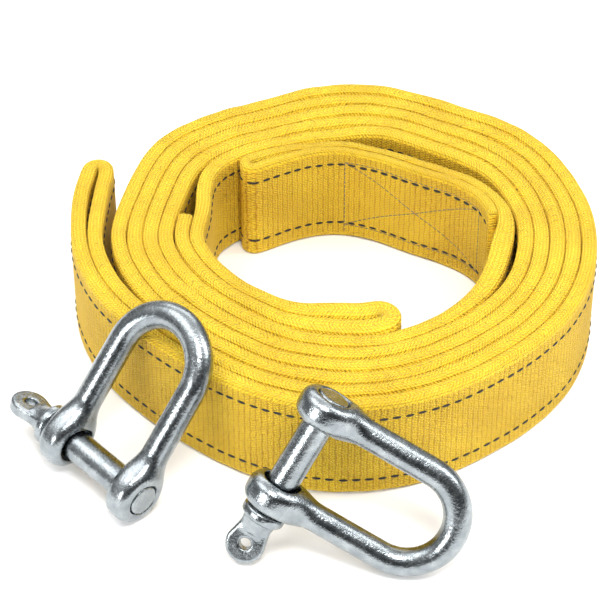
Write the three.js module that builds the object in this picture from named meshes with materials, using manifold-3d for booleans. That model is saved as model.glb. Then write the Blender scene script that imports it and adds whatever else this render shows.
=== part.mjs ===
// Tow strap coiled on edge with two screw-pin dee shackles.  Millimetres, +Z up.
import * as THREE from 'three';
import { mergeVertices } from 'three/addons/utils/BufferGeometryUtils.js';
import Module from 'manifold-3d';

const wasm = await Module();
wasm.setup();
const { Manifold, Mesh: ManifoldMesh } = wasm;

// ---------- driving dimensions ----------
const webW = 48;            // webbing width = height of the coil
const webT = 6.1;           // webbing thickness
const coilScale = 1;        // outer outline of the coil, 1 = about 217 x 203 mm
const lapScale = 1;         // thickness factor of the sewn, pressed eye plies
const rodD = 11.2;          // shackle body bar
const pinD = 12.4;          // shackle pin
const earD = 23.6;          // shackle ear outer diameter
const earL = 12.4;          // ear length along the pin
const earX = 20;            // ear middle to shackle centre line
const bowR = 19.8;          // bar centre-line radius at the crown
const bowLen = 46.3;        // pin axis to crown centre
const collarD = 17.6;
const collarL = 4.6;
const tabW = 15.6;          // pin tab
const tabT = 5.0;
const tabHoleD = 4.8;
const tabEnd = 51;        // tab tip from shackle centre line
// clearances
const layGap = 0.4;         // least gap between neighbouring turns
const runGap = 0.15;        // pin in the threaded ear, radial
const headGap = 1.5;        // pin in the plain ear, radial
const faceGap = 0.3;        // collar to ear

// ---------- coil outline ----------
const centre = new THREE.Vector2(14, 16);
// outer radius of the first turn, every 10 degrees from 180 (left) anticlockwise to 540
const outline = [
  111, 108.5, 105, 101, 98.3, 97.2, 97.6, 99.2, 100.8, 101.5, 101.5, 101, 100.2,
  100.4, 101.6, 103.5, 105, 105.6, 106.2, 106.7, 106.7, 107.4, 107.3, 104.5, 101.4,
  102.2, 103.8, 102.9, 100.6, 96.2, 97.8, 99.2, 101.2, 97.8, 95.2, 94.6, 95,
].map((r) => r * coilScale);
// looseness: extra pitch over the webbing thickness, same angles
const slack = [
  .4, .45, .6, .5, .45, .5, .5, .7, 1, 1, .8, .65, .5, .4, .4, .45, .5, .5, .45, .4,
  .5, .65, 1, 1.1, .7, .55, 1.25, 1.7, 1.5, .45, .4, .45, .7, .4, .4, .4, .4,
];
// opening between the doubled first turn and the next, and inside the third turn
const gapOut = [3, 2.6, 1.2, .4];
const gapIn = [
  0, 0, 0, 0, 0, 0, 0, 0, 0, 0, 0, 0, 0, .3, .7, 1.2, 2.2, 2.5, 2, .6, .8, 4, 6.5, 7.5,
  7.8, 9, 6.5, 1.5, .2, 0, 0, 0, 0, 0, 0, 0, 0,
];

// smooth interpolation of a table with one value each `step` degrees from `start`
function table(values, start, step) {
  const v = (i) => (i < values.length ? values[Math.max(0, i)] : values[values.length - 1]);
  return (a) => {
    const x = Math.max(0, Math.min((a - start) / step, values.length - 1));
    const i = Math.min(Math.floor(x), values.length - 2);
    const t = x - i;
    const [p0, p1, p2, p3] = [v(i - 1), v(i), v(i + 1), v(i + 2)];
    return 0.5 * (2 * p1 + (p2 - p0) * t + (2 * p0 - 5 * p1 + 4 * p2 - p3) * t * t
      + (3 * p1 - p0 - 3 * p2 + p3) * t * t * t);
  };
}
const smooth = (a, b, x) => {
  const t = Math.max(0, Math.min(1, (x - a) / (b - a)));
  return t * t * (3 - 2 * t);
};
const slackAt = table(slack, 180, 10);
const pitch = (a) => webT + Math.max(layGap, slackAt(a));
const gOutT = table([...gapOut, 0, 0], 180, 10);
const gOut = (a) => Math.max(0, a < 230 ? gOutT(a) : 0);
const gInT = table(gapIn, 180, 10);
const gIn = (a) => Math.max(0, gInT(a));
const outT = table(outline, 180, 10);
const seam = outline[0] - 2 * pitch(180) - gapOut[0] - outline[36];
const outer = (a) => outT(a) + seam * smooth(480, 540, a);

// thickness of the inner strand through the sewn eye, and of the other eye's plies
const eyeInT = table([6.1, 6.3, 6.8, 7.6, 8.2, 8.4, 8.2, 6.2, 4.4, 4.2, 4, 3.8, 3.6, 3.3,
  3.2, 3.3, 3.5, 4, 4.4], 300, 10);
const innerT = (a) => (a < 300 ? webT : eyeInT(a) * lapScale * (a < 372 ? webT / 6.1 : 1));
const eyeOutT = table([5.9, 5.9, 5.8, 5.8, 5.7, 5.7, 6.2, 7.2, 8.2, 8.6, 8.6, 8.6], 180, 10);
const outerT = (a) => eyeOutT(a) * webT / 6.1;
const slitOut = (a) => layGap + 1.2 * smooth(255, 280, a);
const slitIn = (a) => 0.35 + 2.3 * smooth(462, 484, a);
const cutIn = 372.5;        // cut end of the inner eye's lap
const foldIn = 487;         // its fold
const cutOut = 167.5;       // cut end of the outer eye's lap
const foldOut = 287;        // its fold

const polar = (r, a) => new THREE.Vector2(
  centre.x + r * Math.cos(a * Math.PI / 180), centre.y + r * Math.sin(a * Math.PI / 180));

// lap room taken by the outer eye's tail, opening up before the left side
const lapRoom = layGap + 1.5 * outerT(180) + slitOut(180) - 0.5 * pitch(180);
const lap = (a) => lapRoom * smooth(497, 526, a);
// strand A: turns 0..2, then its eye; strand B: turns 0..2, the last ending in the sewn eye
const strandA = (k, a) => outer(a) - (2 * k + 0.5) * pitch(a) - (k ? gOut(a) : 0)
  - (k === 2 ? lap(a) : 0);
const strandB = (k, a) => outer(a) - (2 * k + 1) * pitch(a) - (k ? gOut(a) : 0)
  - (k === 2 ? gIn(a) + innerT(a) / 2 : webT / 2 + (pitch(a) - webT) / 2);
const packIn = (a) => (a < 180
  ? outer(a + 360) - 4 * pitch(a + 360)
  : outer(a) - gOut(a) - 6 * pitch(a));
const outerTail = (a) => packIn(a) - layGap - outerT(a) / 2;
const outerMain = (a) => packIn(a) - layGap - 1.5 * outerT(a) - slitOut(a);
const tailT = (a) => innerT(Math.max(a, 384));
const innerTail = (a) => strandB(2, a) - innerT(a) / 2 - slitIn(a) - tailT(a) / 2;

// ---------- webbing centre line, from one cut end to the other ----------
const pts = [];
const add = (p, t) => pts.push({ p, t });
const step = 5;
for (let a = cutOut; a < foldOut - 1; a += step) add(polar(outerTail(a), a), outerT(a));
{ // fold of the outer eye
  const c = (outerTail(foldOut) + outerMain(foldOut)) / 2;
  const h = (outerTail(foldOut) - outerMain(foldOut)) / 2;
  const o = polar(c, foldOut);
  const r = polar(1, foldOut).sub(centre);
  const t = new THREE.Vector2(-r.y, r.x);
  for (let i = 0; i <= 10; i++) {
    const w = Math.PI * i / 10;
    add(o.clone().addScaledVector(r, h * Math.cos(w)).addScaledVector(t, h * Math.sin(w)),
      outerT(foldOut));
  }
}
for (let a = foldOut - step; a > 181; a -= step) add(polar(outerMain(a), a), outerT(a));
for (let k = 2; k >= 0; k--) {
  for (let a = 540; a > 181; a -= step) {
    add(polar(strandA(k, a), a), k === 2 ? webT + (outerT(180) - webT) * smooth(500, 530, a) : webT);
  }
}
{ // bight at the middle of the webbing, standing off the coil on the left
  const x0 = centre.x - outer(180) + webT / 2;
  const legs = [[16, 0, layGap], [24, -.3, .9], [33, -.7, 1.7], [42, -.8, 2.3],
    [51, .2, 2.2], [58, 1.7, 1.9]];
  for (const [y, dx] of legs) add(new THREE.Vector2(x0 + dx, y), webT);
  const [yTop, dTop, sTop] = legs[legs.length - 1];
  const h = (webT + sTop) / 2;
  for (let i = 1; i < 10; i++) {
    const w = Math.PI * i / 10;
    add(new THREE.Vector2(x0 + dTop + h - h * Math.cos(w), yTop + 1.25 * h * Math.sin(w)), webT);
  }
  for (const [y, dx, s] of legs.slice().reverse()) {
    add(new THREE.Vector2(x0 + dx + webT + s, y), webT);
  }
}
for (let k = 0; k <= 2; k++) {
  const last = k === 2 ? foldIn - 1 : 539;
  for (let a = k ? 180 : 185; a < last; a += step) {
    add(polar(strandB(k, a), a), k === 2 ? innerT(a) : webT);
  }
}
{ // fold of the inner eye
  const c = (strandB(2, foldIn) + innerTail(foldIn)) / 2;
  const h = (strandB(2, foldIn) - innerTail(foldIn)) / 2;
  const o = polar(c, foldIn);
  const r = polar(1, foldIn).sub(centre);
  const t = new THREE.Vector2(-r.y, r.x);
  for (let i = 0; i <= 10; i++) {
    const w = Math.PI * i / 10;
    add(o.clone().addScaledVector(r, h * Math.cos(w)).addScaledVector(t, h * Math.sin(w)),
      innerT(foldIn));
  }
}
for (let a = foldIn - step; a > cutIn; a -= step) add(polar(innerTail(a), a), tailT(a));
add(polar(innerTail(cutIn), cutIn), tailT(cutIn));

// even out the joins between turns
for (let pass = 0; pass < 2; pass++) {
  const old = pts.map((q) => q.p.clone());
  for (let i = 1; i < pts.length - 1; i++) {
    pts[i].p.copy(old[i]).multiplyScalar(0.6)
      .addScaledVector(old[i - 1], 0.2).addScaledVector(old[i + 1], 0.2);
  }
}

function offsetOutline(list, side) {
  return list.map((q, i) => {
    const a = list[Math.max(0, i - 1)].p;
    const b = list[Math.min(list.length - 1, i + 1)].p;
    const n = new THREE.Vector2(b.y - a.y, a.x - b.x).normalize();
    return q.p.clone().addScaledVector(n, side * q.t / 2);
  });
}

const group = new THREE.Group();
const finish = (color, roughness, metalness) =>
  new THREE.MeshStandardMaterial({ color, roughness, metalness });
const fabric = finish(0xecc12c, 0.85, 0);
const zinc = finish(0xc3cad0, 0.28, 1);

function put(name, geometry, material, parent) {
  const m = new THREE.Mesh(geometry, material);
  m.name = name;
  (parent ?? group).add(m);
  return m;
}

const strapShape = new THREE.Shape(
  [...offsetOutline(pts, 1), ...offsetOutline(pts, -1).reverse()]);
const strap = new THREE.ExtrudeGeometry(strapShape,
  { depth: webW, steps: 1, bevelEnabled: false, curveSegments: 1 });
put('webbing_strap', strap, fabric);

function toManifold(geometry) {
  const g = geometry.clone();
  g.deleteAttribute('normal');
  g.deleteAttribute('uv');
  const m = mergeVertices(g, 1e-4);
  return new Manifold(new ManifoldMesh({
    numProp: 3, vertProperties: new Float32Array(m.attributes.position.array),
    triVerts: new Uint32Array(m.index.array),
  }));
}
function toGeometry(manifold) {
  const m = manifold.getMesh();
  const g = new THREE.BufferGeometry();
  g.setAttribute('position', new THREE.BufferAttribute(new Float32Array(m.vertProperties), 3));
  g.setIndex(new THREE.BufferAttribute(new Uint32Array(m.triVerts), 1));
  return g;
}

// ---------- shackle, drawn about its pin axis: X along the pin, Y to the crown ----------
const xIn = earX - earL / 2, xOut = earX + earL / 2;
function turned(profile, segments) {
  const g = new THREE.LatheGeometry(profile.map(([r, x]) => new THREE.Vector2(r, x)), segments);
  g.rotateZ(-Math.PI / 2);          // lathe axis Y onto +X
  return g;
}
function barAlong(points, r, segments) {
  const curve = new THREE.CatmullRomCurve3(points, false, 'centripetal');
  const c = new THREE.Shape(Array.from({ length: segments }, (_, i) => new THREE.Vector2(
    r * Math.cos(2 * Math.PI * i / segments), r * Math.sin(2 * Math.PI * i / segments))));
  return new THREE.ExtrudeGeometry(c, { steps: 44, bevelEnabled: false, extrudePath: curve });
}
function bowSolid() {
  const line = [];
  for (const y of [4, 16, 28, 40]) {
    const u = Math.min(1, y / bowLen);
    line.push(new THREE.Vector3(-(earX + (bowR - earX) * u), y, 0));
  }
  for (let i = 0; i <= 12; i++) {
    const w = Math.PI * (1 - i / 12);
    line.push(new THREE.Vector3(bowR * Math.cos(w), bowLen + bowR * Math.sin(w), 0));
  }
  for (const y of [40, 28, 16, 4]) {
    const u = Math.min(1, y / bowLen);
    line.push(new THREE.Vector3(earX + (bowR - earX) * u, y, 0));
  }
  const R = earD / 2, c = earL * 0.2;
  const ear = (side) => {
    const s = (x) => side * (earX + x);
    const prof = [[0, s(-earL / 2)], [R - 1.6 * c, s(-earL / 2)], [R - c * 0.5, s(-earL / 2 + c * 0.45)],
      [R, s(-earL / 2 + 1.7 * c)], [R, s(earL / 2 - 1.7 * c)], [R - c * 0.5, s(earL / 2 - c * 0.45)],
      [R - 1.6 * c, s(earL / 2)], [0, s(earL / 2)]];
    return toManifold(turned(side > 0 ? prof : prof.reverse(), 40));
  };
  const blend = (side) => {
    const h = rodD * 0.95;
    const g = new THREE.CylinderGeometry(rodD / 2 - 0.05, Math.min(earL, R) * 0.78, h, 24);
    g.translate(side * earX, R * 0.72 + h / 2, 0);
    const slab = new THREE.BoxGeometry(earL - 0.1, 4 * R, 4 * R);
    slab.translate(side * earX, 0, 0);
    return toManifold(g).intersect(toManifold(slab));
  };
  let s = toManifold(barAlong(line, rodD / 2, 20));
  for (const side of [-1, 1]) s = s.add(ear(side)).add(blend(side));
  const hole = (r, x0, x1) => toManifold(turned([[0, x0], [r, x0], [r, x1], [0, x1]], 32));
  return s
    .subtract(hole(pinD / 2 + headGap, -xOut - 2, -xIn + 2))
    .subtract(hole(pinD / 2 + runGap, xIn - 2, xOut + 2));
}
function pinSolid(tabTurn) {
  const x0 = -earX - Math.max(earL, rodD) / 2 - faceGap;   // underside of the collar
  const r = pinD / 2;
  const prof = [[0, xOut - 0.1], [r - 0.5, xOut - 0.1], [r, xOut - 0.6], [r, x0],
    [collarD / 2 - 0.8, x0], [collarD / 2, x0 - 0.8], [collarD / 2, x0 - collarL * 0.55],
    [collarD / 2 - 1.4, x0 - collarL], [r + 0.2, x0 - collarL - 2.4], [tabT * 0.75, x0 - collarL - 6],
    [0, x0 - collarL - 6]];
  const shaft = toManifold(turned(prof.slice().reverse(), 32));
  // tab outline, widening from the neck to a rounded end
  const h = tabW / 2, xn = x0 - collarL + 1;
  const o = new THREE.Shape();
  o.moveTo(xn, -r);
  o.lineTo(xn - 4, -r * 0.98);
  o.quadraticCurveTo(xn - 7.5, -r * 1.02, xn - 9.5, -h * 0.94);
  o.quadraticCurveTo(-tabEnd + h * 0.75, -h * 1.06, -tabEnd + 1.6, -h * 0.55);
  o.quadraticCurveTo(-tabEnd - 0.3, 0, -tabEnd + 1.6, h * 0.55);
  o.quadraticCurveTo(-tabEnd + h * 0.75, h * 1.06, xn - 9.5, h * 0.94);
  o.quadraticCurveTo(xn - 7.5, r * 1.02, xn - 4, r * 0.98);
  o.lineTo(xn, r);
  const flat = new THREE.Shape(o.getPoints(6).filter((q, i, l) => !i || q.distanceTo(l[i - 1]) > 0.05));
  const g = new THREE.ExtrudeGeometry(flat, { depth: tabT, bevelEnabled: false });
  g.translate(0, 0, -tabT / 2);
  g.rotateX(tabTurn);
  const drill = new THREE.CylinderGeometry(tabHoleD / 2, tabHoleD / 2, 3 * tabT, 20);
  drill.rotateX(Math.PI / 2);
  drill.translate(-tabEnd + tabW * 0.52, 0, 0);
  drill.rotateX(tabTurn);
  return shaft.add(toManifold(g)).subtract(toManifold(drill));
}
// lay a shackle: axes of pin and crown, then down onto the floor and out from the coil wall
function lay(side, angle, stand, pinAxis, crownAxis, tabTurn) {
  const X = pinAxis.clone().normalize();
  const Z = new THREE.Vector3().crossVectors(X, crownAxis).normalize();
  const Y = new THREE.Vector3().crossVectors(Z, X);
  const bow = toGeometry(bowSolid()), pin = toGeometry(pinSolid(tabTurn));
  const p = polar(outer(angle) + stand, angle);
  const m = new THREE.Matrix4().makeBasis(X, Y, Z).setPosition(p.x, p.y, 0);
  for (const g of [bow, pin]) { g.applyMatrix4(m); g.computeBoundingBox(); }
  const drop = Math.min(bow.boundingBox.min.z, pin.boundingBox.min.z);
  const holder = new THREE.Group();
  holder.position.z = -drop;
  group.add(holder);
  put(`shackle_bow_${side}`, bow, zinc, holder);
  put(`shackle_pin_${side}`, pin, zinc, holder);
}
const earGrow = (earD - 23.6) / 2 + (rodD - 11.2) / 2 + Math.max(0, bowLen + bowR - 66.1) * 0.6;
lay('left', 225.6, 38.3 + earGrow + Math.max(0, webW - 48),
  new THREE.Vector3(0.696, -0.717, -0.043), new THREE.Vector3(0.493, 0.433, 0.755), -1.2);
lay('right', 262.4, 19.6 + earGrow,
  new THREE.Vector3(0.493, 0.335, 0.803), new THREE.Vector3(0.864, -0.298, -0.406), -0.1);

// base plane at z = 0 and the origin in the middle of the footprint
group.updateMatrixWorld(true);
const box = new THREE.Box3().setFromObject(group, true);
const mid = box.getCenter(new THREE.Vector3());
group.position.set(-mid.x, -mid.y, -box.min.z);

export default group;
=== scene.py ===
"""Tow strap coiled on edge with two screw-pin dee shackles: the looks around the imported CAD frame."""
import math

import bpy
import numpy as np
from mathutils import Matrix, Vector


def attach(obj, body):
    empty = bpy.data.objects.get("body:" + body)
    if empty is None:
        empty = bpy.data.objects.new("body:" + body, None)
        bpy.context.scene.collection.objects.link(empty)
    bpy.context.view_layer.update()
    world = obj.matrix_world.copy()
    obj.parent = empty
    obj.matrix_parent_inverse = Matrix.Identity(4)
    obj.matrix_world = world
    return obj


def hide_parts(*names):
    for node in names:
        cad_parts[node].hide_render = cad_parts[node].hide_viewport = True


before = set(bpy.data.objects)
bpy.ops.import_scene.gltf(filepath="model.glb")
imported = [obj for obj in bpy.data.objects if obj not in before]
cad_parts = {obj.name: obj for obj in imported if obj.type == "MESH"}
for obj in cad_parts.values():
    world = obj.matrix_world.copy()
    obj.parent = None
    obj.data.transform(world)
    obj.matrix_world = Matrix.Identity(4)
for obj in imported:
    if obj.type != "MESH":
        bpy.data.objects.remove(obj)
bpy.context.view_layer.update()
MM = 0.001
rng = np.random.default_rng(7)

# ---------- camera ----------
cam = bpy.data.objects.new("camera", bpy.data.cameras.new("camera"))
bpy.context.collection.objects.link(cam)
target = Vector((-0.00037, 0.00692, 0.023))
up_angle = math.radians(42.5)
distance = 1.1
cam.location = target + Vector((0, -math.cos(up_angle), math.sin(up_angle))) * distance
cam.rotation_euler = (target - cam.location).to_track_quat("-Z", "Y").to_euler()
cam.data.sensor_width = 36
cam.data.lens = 156.6
cam.data.clip_end = 20
bpy.context.scene.camera = cam
bpy.context.scene.view_settings.view_transform = "Standard"

# ---------- sizes, as in the part's source, in millimetres ----------
WEB_W, WEB_T = 48.0, 6.1
LAY_GAP = 0.4
ROD_D, PIN_D, EAR_D, EAR_L, EAR_X = 11.2, 12.4, 23.6, 12.4, 20.0
BOW_R, BOW_LEN = 19.8, 46.3
COLLAR_D, COLLAR_L = 17.6, 4.6
TAB_W, TAB_T, TAB_HOLE, TAB_END = 15.6, 5.0, 4.8, 51.0
RUN_GAP, HEAD_GAP, FACE_GAP = 0.15, 1.5, 0.3
SKIN = 0.16                            # how far the webbing's drawn faces stand out of the CAD ones
RIB_PITCH = 2.4                        # cross ribs of the weave
DASH_V, DASH_PITCH = 16.2, 5.0         # black marker thread, from the middle of the width and along it
DASH_HALF = (1.75, 0.66, 0.42)         # half length, half width and half height of one dash
STITCH_PITCH = 2.3
STITCH_HALF = (1.12, 0.27, 0.24)
FLOOR_HALF = 3000
CENTRE = np.array([14.0, 16.0])
SHIFT = np.array([-0.370, 6.916])      # recentres the whole object over the origin

OUTLINE = [
    111, 108.5, 105, 101, 98.3, 97.2, 97.6, 99.2, 100.8, 101.5, 101.5, 101, 100.2,
    100.4, 101.6, 103.5, 105, 105.6, 106.2, 106.7, 106.7, 107.4, 107.3, 104.5, 101.4,
    102.2, 103.8, 102.9, 100.6, 96.2, 97.8, 99.2, 101.2, 97.8, 95.2, 94.6, 95]
SLACK = [
    .4, .45, .6, .5, .45, .5, .5, .7, 1, 1, .8, .65, .5, .4, .4, .45, .5, .5, .45, .4,
    .5, .65, 1, 1.1, .7, .55, 1.25, 1.7, 1.5, .45, .4, .45, .7, .4, .4, .4, .4]
GAP_OUT = [3, 2.6, 1.2, .4]
GAP_IN = [
    0, 0, 0, 0, 0, 0, 0, 0, 0, 0, 0, 0, 0, .3, .7, 1.2, 2.2, 2.5, 2, .6, .8, 4, 6.5, 7.5,
    7.8, 9, 6.5, 1.5, .2, 0, 0, 0, 0, 0, 0, 0, 0]
EYE_IN = [6.1, 6.3, 6.8, 7.6, 8.2, 8.4, 8.2, 6.2, 4.4, 4.2, 4, 3.8, 3.6, 3.3, 3.2, 3.3, 3.5, 4, 4.4]
EYE_OUT = [5.9, 5.9, 5.8, 5.8, 5.7, 5.7, 6.2, 7.2, 8.2, 8.6, 8.6, 8.6]


def table(values, start, step):
    def at(a):
        x = max(0, min((a - start) / step, len(values) - 1))
        i = min(math.floor(x), len(values) - 2)
        t = x - i
        p0, p1, p2, p3 = (values[max(0, min(j, len(values) - 1))] for j in (i - 1, i, i + 1, i + 2))
        return 0.5 * (2 * p1 + (p2 - p0) * t + (2 * p0 - 5 * p1 + 4 * p2 - p3) * t * t
                      + (3 * p1 - p0 - 3 * p2 + p3) * t ** 3)
    return at


def smooth(a, b, x):
    t = max(0, min(1, (x - a) / (b - a)))
    return t * t * (3 - 2 * t)


slack_at, out_at, gap_in = table(SLACK, 180, 10), table(OUTLINE, 180, 10), table(GAP_IN, 180, 10)
gap_out = table(GAP_OUT + [0, 0], 180, 10)
eye_in, eye_out = table(EYE_IN, 300, 10), table(EYE_OUT, 180, 10)
pitch = lambda a: WEB_T + max(LAY_GAP, slack_at(a))
g_out = lambda a: max(0, gap_out(a)) if a < 230 else 0
g_in = lambda a: max(0, gap_in(a))
seam = OUTLINE[0] - 2 * pitch(180) - GAP_OUT[0] - OUTLINE[36]
outer = lambda a: out_at(a) + seam * smooth(480, 540, a)
inner_t = lambda a: WEB_T if a < 300 else eye_in(a)
outer_t = eye_out
slit_out = lambda a: LAY_GAP + 1.2 * smooth(255, 280, a)
slit_in = lambda a: 0.35 + 2.3 * smooth(462, 484, a)
CUT_IN, FOLD_IN, CUT_OUT, FOLD_OUT = 372.5, 487, 167.5, 287
lap_room = LAY_GAP + 1.5 * outer_t(180) + slit_out(180) - 0.5 * pitch(180)
strand_a = lambda k, a: (outer(a) - (2 * k + 0.5) * pitch(a) - (g_out(a) if k else 0)
                         - (lap_room * smooth(497, 526, a) if k == 2 else 0))
strand_b = lambda k, a: (outer(a) - (2 * k + 1) * pitch(a) - (g_out(a) if k else 0)
                         - (g_in(a) + inner_t(a) / 2 if k == 2 else pitch(a) / 2))
pack_in = lambda a: outer(a + 360) - 4 * pitch(a + 360) if a < 180 else outer(a) - g_out(a) - 6 * pitch(a)
outer_tail = lambda a: pack_in(a) - LAY_GAP - outer_t(a) / 2
outer_main = lambda a: pack_in(a) - LAY_GAP - 1.5 * outer_t(a) - slit_out(a)
tail_t = lambda a: inner_t(max(a, 384))
inner_tail = lambda a: strand_b(2, a) - inner_t(a) / 2 - slit_in(a) - tail_t(a) / 2


def polar(r, a):
    w = math.radians(a)
    return CENTRE + r * np.array([math.cos(w), math.sin(w)])


# ---------- webbing centre line ----------
pts, thick, tail_angle = [], [], {}


def add(p, t):
    pts.append(np.array(p, float))
    thick.append(t)


def down(a, stop, step=5):
    while a > stop:
        yield a
        a -= step


def up(a, stop, step=5):
    while a < stop:
        yield a
        a += step


def fold(r_from, r_to, a, t):
    c, h = (r_from + r_to) / 2, (r_from - r_to) / 2
    o = polar(c, a)
    r = polar(1, a) - CENTRE
    for i in range(11):
        w = math.pi * i / 10
        add(o + r * h * math.cos(w) + np.array([-r[1], r[0]]) * h * math.sin(w), t)


for a in up(CUT_OUT, FOLD_OUT - 1):
    add(polar(outer_tail(a), a), outer_t(a))
fold(outer_tail(FOLD_OUT), outer_main(FOLD_OUT), FOLD_OUT, outer_t(FOLD_OUT))
for a in down(FOLD_OUT - 5, 181):
    add(polar(outer_main(a), a), outer_t(a))
for k in (2, 1, 0):
    for a in down(540, 181):
        growth = (outer_t(180) - WEB_T) * smooth(500, 530, a) if k == 2 else 0
        add(polar(strand_a(k, a), a), WEB_T + growth)
x0 = CENTRE[0] - outer(180) + WEB_T / 2
LEGS = [[16, 0, LAY_GAP], [24, -.3, .9], [33, -.7, 1.7], [42, -.8, 2.3], [51, .2, 2.2], [58, 1.7, 1.9]]
for y, dx, _ in LEGS:
    add((x0 + dx, y), WEB_T)
y_top, d_top, s_top = LEGS[-1]
half = (WEB_T + s_top) / 2
for i in range(1, 10):
    w = math.pi * i / 10
    add((x0 + d_top + half - half * math.cos(w), y_top + 1.25 * half * math.sin(w)), WEB_T)
for y, dx, s in reversed(LEGS):
    add((x0 + dx + WEB_T + s, y), WEB_T)
for k in (0, 1, 2):
    for a in up(180 if k else 185, FOLD_IN - 1 if k == 2 else 539):
        add(polar(strand_b(k, a), a), inner_t(a) if k == 2 else WEB_T)
fold(strand_b(2, FOLD_IN), inner_tail(FOLD_IN), FOLD_IN, inner_t(FOLD_IN))
for a in list(down(FOLD_IN - 5, CUT_IN)) + [CUT_IN]:
    tail_angle[len(pts)] = a
    add(polar(inner_tail(a), a), tail_t(a))
pts, thick = np.array(pts), np.array(thick)
for _ in range(2):
    old = pts.copy()
    pts[1:-1] = 0.6 * old[1:-1] + 0.2 * old[:-2] + 0.2 * old[2:]

# a smooth curve through those points, by chord length
chord = np.concatenate([[0], np.cumsum(np.linalg.norm(np.diff(pts, axis=0), axis=1))])
slope = np.gradient(pts, chord, axis=0)


def hermite(s, values, slopes):
    s = np.clip(s, 0, chord[-1])
    i = np.clip(np.searchsorted(chord, s, side="right") - 1, 0, len(chord) - 2)
    h = chord[i + 1] - chord[i]
    t = (s - chord[i]) / h
    t, h = t[:, None], h[:, None]
    return ((2 * t ** 3 - 3 * t ** 2 + 1) * values[i] + (t ** 3 - 2 * t ** 2 + t) * h * slopes[i]
            + (3 * t ** 2 - 2 * t ** 3) * values[i + 1] + (t ** 3 - t ** 2) * h * slopes[i + 1])


fine = np.linspace(0, chord[-1], 20000)
fine_p = hermite(fine, pts, slope)
arc = np.concatenate([[0], np.cumsum(np.linalg.norm(np.diff(fine_p, axis=0), axis=1))])
LENGTH = arc[-1]
tail_u = {a: float(np.interp(chord[i], fine, arc)) for i, a in tail_angle.items()}
tail_angles = np.array(sorted(tail_u))
u_at_angle = lambda a: float(np.interp(a, tail_angles, [tail_u[q] for q in tail_angles]))
waves = [(rng.uniform(28, 140), rng.uniform(0, 6.28), rng.uniform(0.4, 1)) for _ in range(9)]
lumps = [(rng.uniform(9, 30), rng.uniform(0, 6.28), rng.uniform(0.4, 1)) for _ in range(9)]
mix_waves = lambda u, rows: sum(g * np.sin(6.2832 * u / w + p) for w, p, g in rows) / len(rows)


def line_at(u):
    """Centre point, right-hand normal and half thickness of the webbing, u mm along it."""
    s = np.interp(np.clip(u, 0, LENGTH), arc, fine)
    p = hermite(s, pts, slope)
    d = hermite(s + 0.4, pts, slope) - hermite(s - 0.4, pts, slope)
    d /= np.maximum(np.linalg.norm(d, axis=1), 1e-9)[:, None]
    return p, np.stack([d[:, 1], -d[:, 0]], 1), np.interp(s, chord, thick) / 2


# ---------- sewing on the eye's lap: a box with a cross, in (u, v) on the face towards the middle ----------
U_LEFT, U_RIGHT = u_at_angle(447), u_at_angle(382)
V_LOW, V_HIGH = -17.4, 17.4
SEAMS = [((U_LEFT, -21.5), (U_LEFT, V_HIGH)), ((U_RIGHT, V_LOW), (U_RIGHT, V_HIGH)),
         ((U_LEFT, V_HIGH), (U_RIGHT, V_HIGH)), ((U_LEFT, V_LOW), (U_RIGHT, V_LOW)),
         ((U_LEFT, V_HIGH), (U_RIGHT, V_LOW)), ((U_LEFT, V_LOW), (U_RIGHT, V_HIGH))]


def seam_dip(u, v):
    """How far the sewing pulls the face in, in mm."""
    out = np.zeros_like(u)
    for (ua, va), (ub, vb) in SEAMS:
        d = np.array([ub - ua, vb - va])
        t = np.clip(((u - ua) * d[0] + (v - va) * d[1]) / (d @ d), 0, 1)
        out = np.maximum(out, np.exp(-(np.hypot(u - ua - t * d[0], v - va - t * d[1]) / 1.1) ** 2))
    return 0.32 * out


EDGE = 2.1                                  # height of the rounded selvedge
FLAT = WEB_W / 2 - EDGE


def section():
    """Cross-section points: side (-1..1 of half thickness), height from mid, and v for the weave."""
    rows = [(1.0, v, v) for v in np.linspace(-FLAT, FLAT, 34)]
    arcs = []
    for i in range(1, 14):
        w = math.pi * i / 14
        x = math.copysign(abs(math.cos(w)) ** 0.62, math.cos(w))
        z = math.sin(w) ** 0.62
        arcs.append((x, z, FLAT + (1 - abs(x)) * 3.0 + 0.5 * z * EDGE))
    rows += [(x, FLAT + EDGE * z, v) for x, z, v in arcs]
    rows += [(-1.0, -v, -v) for v in np.linspace(-FLAT, FLAT, 34)]
    rows += [(-x, -FLAT - EDGE * z, -v) for x, z, v in arcs]
    return np.array(rows)


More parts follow.
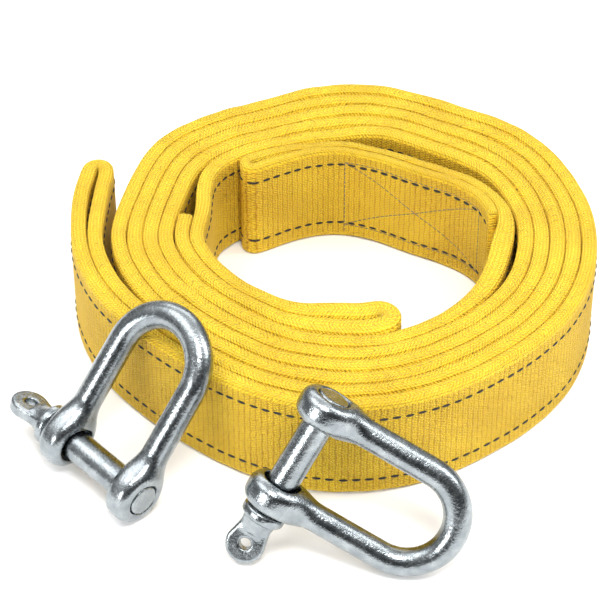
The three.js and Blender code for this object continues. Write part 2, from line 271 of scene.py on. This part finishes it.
def webbing():
    """The strap: the section swept along the line, with uneven edges, grooves and the seams' dip."""
    sec = section()
    u = np.linspace(0, LENGTH, int(LENGTH / 0.85))
    p, n, h = line_at(u)
    uu, side = np.meshgrid(u, sec[:, 0], indexing="ij")
    zz, vv = np.broadcast_to(sec[:, 1], uu.shape), np.broadcast_to(sec[:, 2], uu.shape)
    top = np.clip((np.abs(zz) - FLAT) / EDGE, 0, 1)
    x = side * (h[:, None] + SKIN)
    x = x * (1 + 0.05 * mix_waves(uu + 40 * side, waves) * 2)
    x += np.where(side > 0.99, -seam_dip(uu, zz), 0)
    z = zz + np.sign(zz) * top * (1.1 * mix_waves(uu + 90 * (zz > 0), waves) + 0.7 * mix_waves(uu, lumps))
    groove = 0.30 + 0.18 * mix_waves(uu + 17, lumps)
    z -= np.sign(zz) * top ** 2 * groove * np.exp(-(side / 0.2) ** 2) * (np.abs(side) < 0.7)
    for off in (-0.62, 0.62):
        depth = 0.10 + 0.10 * mix_waves(uu + 60 * off, lumps)
        z -= np.sign(zz) * top ** 2 * depth * np.exp(-((side - off) / 0.12) ** 2)
    z = np.maximum(z, -WEB_W / 2)
    xy = p[:, None, :] + n[:, None, :] * x[..., None] + SHIFT
    v3 = np.concatenate([xy, (z + WEB_W / 2)[..., None]], 2)
    # rounded cut ends
    for i, s in ((0, -1), (-1, 1)):
        mid = v3[i].mean(0)
        v3[i] = mid + (v3[i] - mid) * np.array([.8, .8, .985])
    rows, cols = uu.shape
    i, j = np.meshgrid(np.arange(rows - 1), np.arange(cols), indexing="ij")
    k = (j + 1) % cols
    quads = np.stack([i * cols + j, i * cols + k, (i + 1) * cols + k, (i + 1) * cols + j], -1).reshape(-1, 4)
    faces = [list(map(int, q)) for q in quads]
    faces += [list(range(cols))[::-1], [int((rows - 1) * cols + c) for c in range(cols)]]
    uv = np.stack([uu, vv], -1).reshape(-1, 2)
    return make("webbing", v3.reshape(-1, 3), faces, uv)


def make(name, verts, faces, uv=None):
    me = bpy.data.meshes.new(name)
    faces = faces if isinstance(faces, list) else faces.tolist()
    me.from_pydata((np.asarray(verts) * MM).tolist(), [], faces)
    if uv is not None:
        layer = me.uv_layers.new(name="weave")
        idx = np.empty(len(me.loops), int)
        me.loops.foreach_get("vertex_index", idx)
        layer.data.foreach_set("uv", uv[idx].astype("f").ravel())
    me.polygons.foreach_set("use_smooth", [True] * len(me.polygons))
    me.update()
    o = bpy.data.objects.new(name, me)
    bpy.context.collection.objects.link(o)
    return o


def threads(name, rows):
    """Short laid threads: rows of u, v, side, direction in (u, v), half length, half width, half height."""
    rings, seg = 5, 8
    a = np.linspace(0, math.pi, rings + 2)[1:-1]
    b = np.linspace(0, 2 * math.pi, seg, endpoint=False)
    ball = [(-1, 0, 0)] + [(-math.cos(i), math.sin(i) * math.cos(j), math.sin(i) * math.sin(j))
                           for i in a for j in b] + [(1, 0, 0)]
    ball = np.array(ball)
    f = []
    for j in range(seg):
        k = (j + 1) % seg
        f.append([0, 1 + k, 1 + j])
        for i in range(rings - 1):
            q = 1 + i * seg
            f.append([q + j, q + k, q + seg + k, q + seg + j])
        q = 1 + (rings - 1) * seg
        f.append([q + j, q + k, q + seg])
    rows = np.array(rows, float)
    n, m = len(rows), len(ball)
    du, dv = np.cos(rows[:, 3]), np.sin(rows[:, 3])
    la, wa = rows[:, 4, None] * ball[None, :, 0], rows[:, 5, None] * ball[None, :, 1]
    u = rows[:, 0, None] + la * du[:, None] - wa * dv[:, None]
    v = rows[:, 1, None] + la * dv[:, None] + wa * du[:, None]
    side = np.broadcast_to(rows[:, 2, None], u.shape).ravel()
    p, nn, h = line_at(u.ravel())
    x = side * (h + SKIN) * (1 + 0.05 * mix_waves(u.ravel() + 40 * side, waves) * 2)
    x += np.where(side > 0, -seam_dip(u.ravel(), v.ravel()), 0)
    x += side * (rows[:, 6, None] * ball[None, :, 2]).ravel()
    xy = p + nn * x[:, None] + SHIFT
    verts = np.column_stack([xy, v.ravel() + WEB_W / 2])
    faces = [[i * m + q for q in face] for i in range(n) for face in f]
    return make(name, verts, faces)


# ---------- shackle surfaces from distance fields ----------
# drawn about the pin axis, with X along the pin and Y to the crown
def smin(a, b, k):
    h = np.clip(0.5 + 0.5 * (b - a) / k, 0, 1)
    return b + (a - b) * h - k * h * (1 - h)


smax = lambda a, b, k: -smin(-a, -b, k)


def drum(P, x0, x1, r, soft):
    """A cylinder along X with rounded rims."""
    qx = np.abs(P[:, 0] - (x0 + x1) / 2) - (x1 - x0) / 2 + soft
    qr = np.hypot(P[:, 1], P[:, 2]) - r + soft
    return np.minimum(np.maximum(qx, qr), 0) + np.hypot(np.maximum(qx, 0), np.maximum(qr, 0)) - soft


def bow_field(P):
    """Bar, two ears and their holes; the plain ear is on the -X side."""
    x, y, z = np.abs(P[:, 0]), P[:, 1], P[:, 2]
    a, b = np.array([EAR_X - 0.1, 9.0]), np.array([BOW_R, BOW_LEN])
    d = b - a
    t = np.clip(((x - a[0]) * d[0] + (y - a[1]) * d[1]) / (d @ d), 0, 1)
    leg = np.hypot(x - a[0] - t * d[0], y - a[1] - t * d[1])
    crown = np.abs(np.hypot(x, y - BOW_LEN) - BOW_R)
    plane = np.where(y > BOW_LEN, crown, leg)
    bar = np.hypot(plane, z) - ROD_D / 2 - 0.1 * np.exp(-(z / 0.6) ** 2)
    Q = np.column_stack([x, y, z])
    ear = drum(Q, EAR_X - EAR_L / 2, EAR_X + EAR_L / 2, EAR_D / 2 - 0.016 * (x - EAR_X) ** 2, 4.3)
    out = smin(bar, ear, 7.5)
    near = np.clip((y - 4) / 12, 0, 1)
    out = smax(out, x - (EAR_X + EAR_L / 2) - 0.12 - 5 * near * near, 1.2)
    rim = 0.5 * np.clip((x - (EAR_X + EAR_L / 2) + 1.6) / 1.2, 0, 1)
    hole = np.hypot(y, z) - PIN_D / 2 - np.where(P[:, 0] < 0, HEAD_GAP, RUN_GAP + rim)
    return smax(out, -hole, 0.9)


def pin_field(turn):
    """Shank, collar, neck and the tab, turned about the pin's axis."""
    under = -EAR_X - max(EAR_L, ROD_D) / 2 - FACE_GAP
    cos_t, sin_t = math.cos(turn), math.sin(turn)

    def f(P):
        x, y, z = P.T
        s, t = y * cos_t + z * sin_t, -y * sin_t + z * cos_t
        shank = drum(P, under - 1, EAR_X + EAR_L / 2 - 0.1, PIN_D / 2, 0.7)
        collar = drum(P, under - COLLAR_L, under, COLLAR_D / 2, 1.7)
        k = np.clip((under - COLLAR_L + 0.5 - x) / 6, 0, 1)
        neck = smax(np.hypot(y, z) - (6.6 - 2.8 * k), np.maximum(under - COLLAR_L - 6 - x, x - under), 1.2)
        w = 6.15 + 1.65 * np.clip((-34.5 - x) / 8, 0, 1) ** 1.2
        tab = smax(np.abs(s) - w, -TAB_END - x + 0.075 * s * s, 3.2)
        tab = smax(tab, x - (under - COLLAR_L + 1), 0.8)
        tab = smax(tab, np.abs(t) - TAB_T / 2, 1.5)
        out = smin(smin(neck, tab, 2.6), smin(shank, collar, 0.3), 0.9)
        hole = np.hypot(x + TAB_END - TAB_W * 0.52, s) - TAB_HOLE / 2
        return smax(out, -hole, 0.9)
    return f


def surface(f, lo, hi, h):
    """A quad mesh of f = 0, drawn onto it and evened out."""
    ax = [np.arange(lo[i], hi[i] + h, h) for i in range(3)]
    G = np.stack(np.meshgrid(*ax, indexing="ij"), -1)
    inside = (f(G.reshape(-1, 3)) < 0).reshape(G.shape[:3])
    nx, ny, nz = (n - 1 for n in inside.shape)
    c = sum(inside[a:a + nx, b:b + ny, d:d + nz].astype(int)
            for a in (0, 1) for b in (0, 1) for d in (0, 1))
    live = (c > 0) & (c < 8)
    idx = np.full(live.shape, -1)
    idx[live] = np.arange(live.sum())
    V = G[:-1, :-1, :-1][live] + h / 2
    quads = []
    for axis in range(3):
        p = np.moveaxis(inside, axis, 0)
        q = np.moveaxis(idx, axis, 0)
        i, j, k = np.nonzero(p[1:, 1:-1, 1:-1] != p[:-1, 1:-1, 1:-1])
        j, k = j + 1, k + 1
        quad = np.stack([q[i, j - 1, k - 1], q[i, j, k - 1], q[i, j, k], q[i, j - 1, k]], -1)
        turn = p[i, j, k] != (axis == 1)
        quad[~turn] = quad[~turn][:, ::-1]
        quads.append(quad)
    quads = np.concatenate(quads)

    def onto(V, rounds):
        for _ in range(rounds):
            d = f(V)
            g = np.stack([(f(V + e) - f(V - e)) / 0.06 for e in np.eye(3) * 0.03], 1)
            step = d[:, None] * g / np.maximum((g * g).sum(1), 0.2)[:, None]
            V = V - np.clip(step, -h, h)
        return V

    V = onto(V, 4)
    e = np.concatenate([quads[:, [0, 1]], quads[:, [1, 2]], quads[:, [2, 3]], quads[:, [3, 0]]])
    e = np.concatenate([e, e[:, ::-1]])
    for _ in range(4):
        total = np.zeros_like(V)
        np.add.at(total, e[:, 0], V[e[:, 1]])
        count = np.bincount(e[:, 0], minlength=len(V))[:, None]
        V = onto(0.4 * V + 0.6 * total / np.maximum(count, 1), 2)
    return V, quads


# ---------- materials ----------
class Nodes:
    """A Principled material and short ways to add nodes to it."""

    def __init__(self, name):
        self.m = bpy.data.materials.new(name)
        self.m.use_nodes = True
        self.t = self.m.node_tree
        self.b = self.t.nodes["Principled BSDF"]

    def put(self, a, sock):
        if hasattr(a, "is_output"):
            self.t.links.new(a, sock)
        else:
            sock.default_value = a

    def math(self, op, a, b=None, c=None):
        n = self.t.nodes.new("ShaderNodeMath")
        n.operation = op
        for v, s in zip((a, b, c), n.inputs):
            if v is not None:
                self.put(v, s)
        return n.outputs[0]

    def noise(self, vec, scale, detail=3, rough=0.55):
        n = self.t.nodes.new("ShaderNodeTexNoise")
        n.inputs["Scale"].default_value = scale
        n.inputs["Detail"].default_value = detail
        n.inputs["Roughness"].default_value = rough
        self.t.links.new(vec, n.inputs["Vector"])
        return n.outputs["Fac"]

    def ramp(self, fac, stops):
        n = self.t.nodes.new("ShaderNodeValToRGB")
        r = n.color_ramp
        while len(r.elements) < len(stops):
            r.elements.new(0.5)
        for e, (p, c) in zip(r.elements, stops):
            e.position = p
            e.color = (*c, 1)
        self.t.links.new(fac, n.inputs[0])
        return n.outputs[0]

    def bump(self, height, distance, strength, normal=None):
        n = self.t.nodes.new("ShaderNodeBump")
        n.inputs["Strength"].default_value = strength
        n.inputs["Distance"].default_value = distance
        self.t.links.new(height, n.inputs["Height"])
        if normal is not None:
            self.t.links.new(normal, n.inputs["Normal"])
        return n.outputs[0]

    def coord(self, name):
        n = self.t.nodes.new("ShaderNodeTexCoord")
        return n.outputs[name]


def weave_material():
    """Cross ribs of beaded yarn on the faces and a loose braid on the edges, from u and v in mm; the same
    height drives the bump and a painted shade that darkens the valleys.
    """
    k = Nodes("webbing_weave")
    uv = k.t.nodes.new("ShaderNodeUVMap")
    uv.uv_map = "weave"
    sep = k.t.nodes.new("ShaderNodeSeparateXYZ")
    k.t.links.new(uv.outputs[0], sep.inputs[0])
    u, v = sep.outputs[0], sep.outputs[1]
    obj = k.coord("Object")
    wob = k.math("MULTIPLY", k.noise(obj, 320, 2), 1.5)
    us = k.math("ADD", u, wob)
    rib = k.math("ABSOLUTE", k.math("SINE", k.math("MULTIPLY", us, math.pi / RIB_PITCH)))
    rib = k.math("POWER", rib, 0.8)
    half_rib = k.math("ABSOLUTE", k.math("SINE", k.math("MULTIPLY", us, math.pi / (RIB_PITCH / 2))))
    odd = k.math("MULTIPLY", k.math("FLOOR", k.math("MULTIPLY", us, 2 / RIB_PITCH)), math.pi)
    vs = k.math("ADD", v, k.math("MULTIPLY", k.noise(obj, 900, 1), 0.5))
    yarn = k.math("SINE", k.math("ADD", k.math("MULTIPLY", vs, 2 * math.pi / 1.35), odd))
    yarn = k.math("ADD", k.math("MULTIPLY", yarn, 0.5), 0.5)
    bead = k.math("MULTIPLY", half_rib, yarn)
    face = k.math("ADD", k.math("MULTIPLY", rib, 0.34), k.math("MULTIPLY", bead, 0.80))
    av = k.math("ABSOLUTE", v)
    slant = k.math("MULTIPLY", k.math("SUBTRACT", av, WEB_W / 2), 0.9)
    braid = k.math("ABSOLUTE", k.math("SINE", k.math("MULTIPLY", k.math("ADD", us, slant), math.pi / 1.5)))
    cross = k.math("ABSOLUTE", k.math("SINE", k.math("MULTIPLY", av, math.pi / 1.15)))
    braid = k.math("MULTIPLY", k.math("ADD", k.math("MULTIPLY", braid, 0.6), 0.38),
                   k.math("ADD", k.math("MULTIPLY", cross, 0.6), 0.5))
    tuft = k.noise(obj, 620, 3, 0.7)
    braid = k.math("MULTIPLY", braid, k.math("ADD", k.math("MULTIPLY", tuft, 1.3), 0.22))
    edge = k.t.nodes.new("ShaderNodeMapRange")
    edge.interpolation_type = "SMOOTHSTEP"
    edge.inputs["From Min"].default_value = FLAT - 0.5
    edge.inputs["From Max"].default_value = FLAT + 0.7
    k.t.links.new(av, edge.inputs["Value"])
    e = edge.outputs[0]
    height = k.math("ADD", k.math("MULTIPLY", braid, e),
                    k.math("MULTIPLY", face, k.math("SUBTRACT", 1.0, e)))
    fuzz = k.noise(obj, 2600, 2)
    height = k.math("ADD", height, k.math("MULTIPLY", fuzz, 0.35))
    # painted shade: the weave's yellow ramped by relief height, darker and more orange in the valleys and
    # lighter on the crests
    tone = k.ramp(height, [(0.12, (0.74, 0.35, 0.006)), (0.5, (0.90, 0.56, 0.014)),
                           (0.95, (0.97, 0.71, 0.04))])
    cloud = k.ramp(k.noise(obj, 45, 3), [(0.35, (0.90, 0.84, 0.7)), (0.65, (1, 1, 1))])
    mul = k.t.nodes.new("ShaderNodeMix")
    mul.data_type = "RGBA"
    mul.blend_type = "MULTIPLY"
    mul.inputs[0].default_value = 1
    k.t.links.new(tone, mul.inputs[6])
    k.t.links.new(cloud, mul.inputs[7])
    k.t.links.new(mul.outputs[2], k.b.inputs["Base Color"])
    k.b.inputs["Roughness"].default_value = 0.68
    k.b.inputs["Sheen Weight"].default_value = 0.05
    k.b.inputs["Sheen Roughness"].default_value = 0.45
    k.b.inputs["Specular IOR Level"].default_value = 0.35
    k.t.links.new(k.bump(height, 0.0014, 1.0), k.b.inputs["Normal"])
    return k.m


def thread_material(name, dark, light):
    k = Nodes(name)
    obj = k.coord("Object")
    n = k.noise(obj, 1500, 3)
    k.t.links.new(k.ramp(n, [(0.3, dark), (0.7, light)]), k.b.inputs["Base Color"])
    k.b.inputs["Roughness"].default_value = 0.6
    k.t.links.new(k.bump(n, 0.0002, 0.5), k.b.inputs["Normal"])
    return k.m


def zinc_material(name, seed):
    k = Nodes(name)
    m = k.t.nodes.new("ShaderNodeMapping")
    m.inputs["Location"].default_value = (seed, 2 * seed, 0)
    k.t.links.new(k.coord("Object"), m.inputs["Vector"])
    vec = m.outputs[0]
    blotch, grain = k.noise(vec, 170, 4, 0.6), k.noise(vec, 1100, 3)
    tone = k.ramp(blotch, [(0.3, (0.22, 0.245, 0.26)), (0.55, (0.31, 0.34, 0.355)),
                           (0.75, (0.42, 0.45, 0.465))])
    k.t.links.new(tone, k.b.inputs["Base Color"])
    k.b.inputs["Metallic"].default_value = 1.0
    rough = k.math("ADD", k.math("MULTIPLY", grain, 0.14), k.math("MULTIPLY", blotch, 0.20))
    k.t.links.new(k.math("ADD", rough, 0.08), k.b.inputs["Roughness"])
    first = k.bump(blotch, 0.0008, 0.16)
    k.t.links.new(k.bump(grain, 0.0003, 0.42, first), k.b.inputs["Normal"])
    return k.m


# ---------- pieces ----------
strap = webbing()
strap.data.materials.append(weave_material())
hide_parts("webbing_strap")
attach(strap, "coil")

rows = []
for s in (-1, 1):
    for v in (-DASH_V, DASH_V):
        for u in np.arange(4, LENGTH - 4, DASH_PITCH):
            rows.append((u + rng.normal(0, 0.15), v + rng.normal(0, 0.08), s, 0, *DASH_HALF))
dashes = threads("tracer_dashes", rows)
dashes.data.materials.append(thread_material("tracer_black", (0.008, 0.007, 0.005), (0.03, 0.026, 0.015)))
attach(dashes, "coil")

rows = []
for (ua, va), (ub, vb) in SEAMS:
    n = int(math.hypot(ub - ua, vb - va) / STITCH_PITCH)
    w = math.atan2(vb - va, ub - ua)
    for i in range(n):
        t = (i + 0.5) / n
        rows.append((ua + (ub - ua) * t, va + (vb - va) * t, 1, w, *STITCH_HALF))
stitches = threads("eye_stitches", rows)
stitches.data.materials.append(thread_material("stitch_grey", (0.17, 0.11, 0.045), (0.33, 0.25, 0.12)))
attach(stitches, "coil")

bow_v, bow_f = surface(bow_field, (-28, -13, -13), (28, 74, 13), 0.62)
for side, angle, stand, z, pin_axis, crown_axis, turn in (
        ("left", 225.6, 38.3, 12.70, (0.696, -0.717, -0.043), (0.493, 0.433, 0.755), -1.2),
        ("right", 262.4, 19.6, 42.40, (0.493, 0.335, 0.803), (0.864, -0.298, -0.406), -0.1)):
    X = np.array(pin_axis) / np.linalg.norm(pin_axis)
    Z = np.cross(X, crown_axis)
    Z /= np.linalg.norm(Z)
    M = np.stack([X, np.cross(Z, X), Z])
    o = np.append(polar(outer(angle) + stand, angle) + SHIFT, z)
    bow = make(f"bow_{side}", bow_v @ M + o, bow_f)
    bow.data.materials.append(zinc_material(f"zinc_bow_{side}", 0.3 if side == "left" else 0.7))
    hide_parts(f"shackle_bow_{side}")
    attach(bow, f"{side}_shackle")
    pin_v, pin_f = surface(pin_field(turn), (-53, -10, -10), (28, 10, 10), 0.5)
    pin = make(f"pin_{side}", pin_v @ M + o, pin_f)
    pin.data.materials.append(zinc_material(f"zinc_pin_{side}", 1.1 if side == "left" else 1.6))
    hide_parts(f"shackle_pin_{side}")
    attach(pin, f"{side}_pin")

# ---------- floor and light ----------
corners = [(x * FLOOR_HALF, y * FLOOR_HALF, 0) for x, y in ((-1, -1), (1, -1), (1, 1), (-1, 1))]
floor = make("floor", corners, [[0, 1, 2, 3]])
floor.location.z = -0.0004
k = Nodes("floor_pale")
pale = k.ramp(k.noise(k.coord("Object"), 4, 2), [(0.3, (0.90, 0.90, 0.90)), (0.7, (0.93, 0.93, 0.93))])
k.t.links.new(pale, k.b.inputs["Base Color"])
k.b.inputs["Roughness"].default_value = 0.9
floor.data.materials.append(k.m)


def soft_light(name, where, size, power, glossy=True):
    """An area light aimed at the object; glossy=False keeps it out of the metal's reflections."""
    light = bpy.data.lights.new(name, "AREA")
    light.shape = "RECTANGLE"
    light.size, light.size_y = size
    light.energy = power
    o = bpy.data.objects.new(name, light)
    bpy.context.collection.objects.link(o)
    o.location = where
    o.visible_glossy = glossy
    o.rotation_euler = (Vector((0, 0, 0.02)) - Vector(where)).to_track_quat("-Z", "Y").to_euler()


soft_light("key", (-0.6, 0.10, 1.15), (0.9, 0.7), 6)
soft_light("inner", (0.1, -0.5, 1.2), (0.5, 0.3), 10)
soft_light("fill", (0.95, 0.0, 0.8), (0.4, 0.8), 6)
soft_light("back", (0.1, 1.1, 0.8), (1.2, 0.5), 5)
soft_light("front", (-0.95, -0.9, 0.45), (0.5, 0.4), 9)
soft_light("faces", (0.25, -1.0, 0.75), (0.6, 0.5), 6.5, False)
world = bpy.data.worlds.new("studio")
bpy.context.scene.world = world
world.use_nodes = True
nt = world.node_tree
tc = nt.nodes.new("ShaderNodeTexCoord")
sp = nt.nodes.new("ShaderNodeSeparateXYZ")
nt.links.new(tc.outputs["Generated"], sp.inputs[0])


def graded(value, stops):
    n = nt.nodes.new("ShaderNodeValToRGB")
    nt.links.new(value, n.inputs[0])
    for e, (p, c) in zip(n.color_ramp.elements, stops):
        e.position, e.color = p, (c, c, c, 1)
    return n.outputs[0]


# the sky is darkest low down and on the camera's side
shift = nt.nodes.new("ShaderNodeMath")
shift.operation = "MULTIPLY_ADD"
shift.inputs[1].default_value, shift.inputs[2].default_value = 0.5, 0.5
nt.links.new(sp.outputs[1], shift.inputs[0])
both = nt.nodes.new("ShaderNodeMix")
both.data_type, both.blend_type = "RGBA", "MULTIPLY"
both.inputs[0].default_value = 1
nt.links.new(graded(sp.outputs[2], [(0.10, 0.12), (0.8, 1.0)]), both.inputs[6])
nt.links.new(graded(shift.outputs[0], [(0.22, 0.12), (0.5, 1.0)]), both.inputs[7])
nt.links.new(both.outputs[2], nt.nodes["Background"].inputs[0])
nt.nodes["Background"].inputs[1].default_value = 1.0
